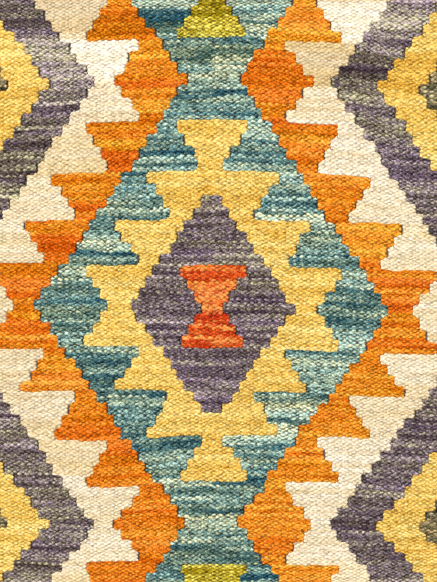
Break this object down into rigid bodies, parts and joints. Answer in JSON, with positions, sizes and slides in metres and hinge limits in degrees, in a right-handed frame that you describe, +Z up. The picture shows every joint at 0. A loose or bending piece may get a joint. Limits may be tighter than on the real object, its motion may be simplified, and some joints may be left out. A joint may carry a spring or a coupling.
{
  "type": "kilim rug cut length",
  "caption": "Flat length of weft-faced kilim rug cloth in coloured wool, ribbed along its warps, woven with stepped diamonds, to lie on a floor or a table.",
  "frame": {"origin": "centre of the underside, on the surface that the cloth lies on", "axes": "+X across the warps, to the picture's right; +Y along the warps, to the picture's top; +Z up, out of the patterned side"},
  "size_m": [0.4206, 0.5542, 0.0036],
  "materials": {
    "woven_wool": "matt hand-spun wool in gold, orange, cream, teal, purple-grey, red and lime, woven weft-faced"
  },
  "bodies": {
    "root": {"kilim_cloth": "woven_wool"}
  },
  "joints": []
}
